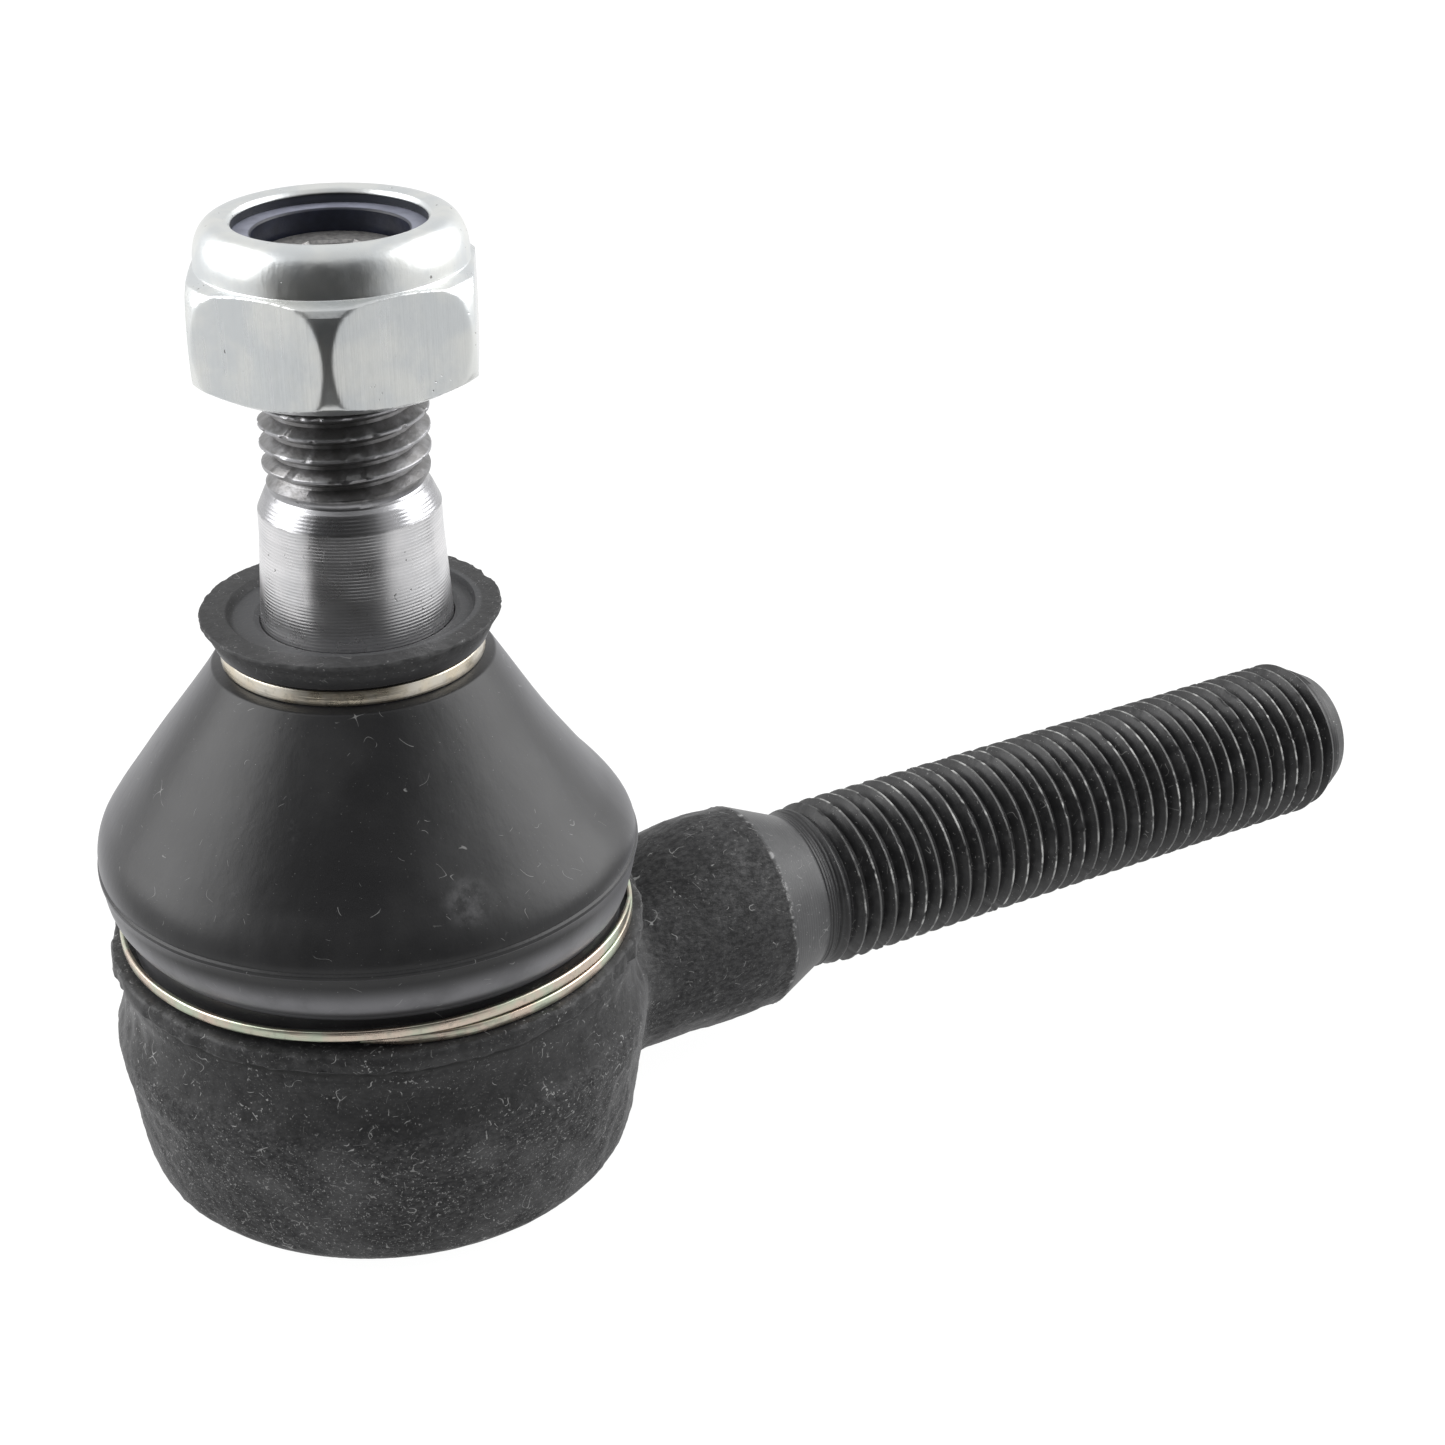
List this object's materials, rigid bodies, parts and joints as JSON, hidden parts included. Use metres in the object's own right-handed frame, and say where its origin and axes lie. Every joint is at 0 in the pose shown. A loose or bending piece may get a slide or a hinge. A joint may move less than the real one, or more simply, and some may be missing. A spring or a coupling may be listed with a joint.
{
  "type": "tie rod end",
  "caption": "Outer tie rod end: forged head with a threaded shank, swinging ball stud with a taper, rubber dust boot on clamp rings and a nylon lock nut.",
  "frame": {"origin": "on the ball stud's axis, at the face of the end cap that the part stands on", "axes": "+X along the threaded shank towards its free end, +Z along the ball stud towards its threaded end"},
  "size_m": [0.1135, 0.0402, 0.074],
  "materials": {
    "forging": "rough black oxide on a drop forging, semi-matt",
    "zinc_plate": "bright zinc plate, pressed",
    "seal_rubber": "matt nitrile rubber",
    "spring_steel": "dark tempered spring steel",
    "seat_plastic": "smooth natural acetal with a thin film of grease",
    "stud_steel": "fine turned steel, bright",
    "boot_rubber": "satin moulded rubber with dust and lint",
    "ring_zinc": "yellow passivated zinc, satin",
    "nut_zinc": "bright zinc plate with drawn flats",
    "nylon": "navy nylon"
  },
  "bodies": {
    "housing": {"housing": "forging", "end_cap": "zinc_plate", "cap_seal": "seal_rubber", "preload_spring": "spring_steel", "dust_boot": "boot_rubber", "lower_clamp_ring": "ring_zinc"},
    "seats": {"lower_seat": "seat_plastic", "upper_seat": "seat_plastic"},
    "collar": {"upper_clamp_ring": "ring_zinc"},
    "stud": {"ball_stud": "stud_steel"},
    "nut_ring": {"nylon_insert": "nylon"},
    "nut": {"lock_nut": "nut_zinc"}
  },
  "joints": [
    {"name": "swing_direction", "type": "hinge", "parent": "housing", "child": "seats", "pos_m": [0, 0, 0.0135], "axis": [0, 0, 1], "range_deg": [-90, 90]},
    {"name": "swing_tilt", "type": "hinge", "parent": "seats", "child": "collar", "pos_m": [0, 0, 0.0135], "axis": [1, 0, 0], "range_deg": [-20, 20], "deforming": ["dust_boot"]},
    {"name": "stud_spin", "type": "hinge", "parent": "collar", "child": "stud", "pos_m": [0, 0, 0.0135], "axis": [0, 0, 1], "continuous": true},
    {"name": "nut_travel", "type": "slide", "parent": "stud", "child": "nut_ring", "axis": [0, 0, 1], "range_m": [-0.006, 0.009], "deforming": ["nylon_insert"]},
    {"name": "nut_turn", "type": "hinge", "parent": "nut_ring", "child": "nut", "pos_m": [0, 0, 0.068], "axis": [0, 0, 1], "range_deg": [-1440, 2160]}
  ],
  "couplings": [
    {"joint": "nut_travel", "follows": "nut_turn", "m_per_rad": 0.00023873}
  ]
}
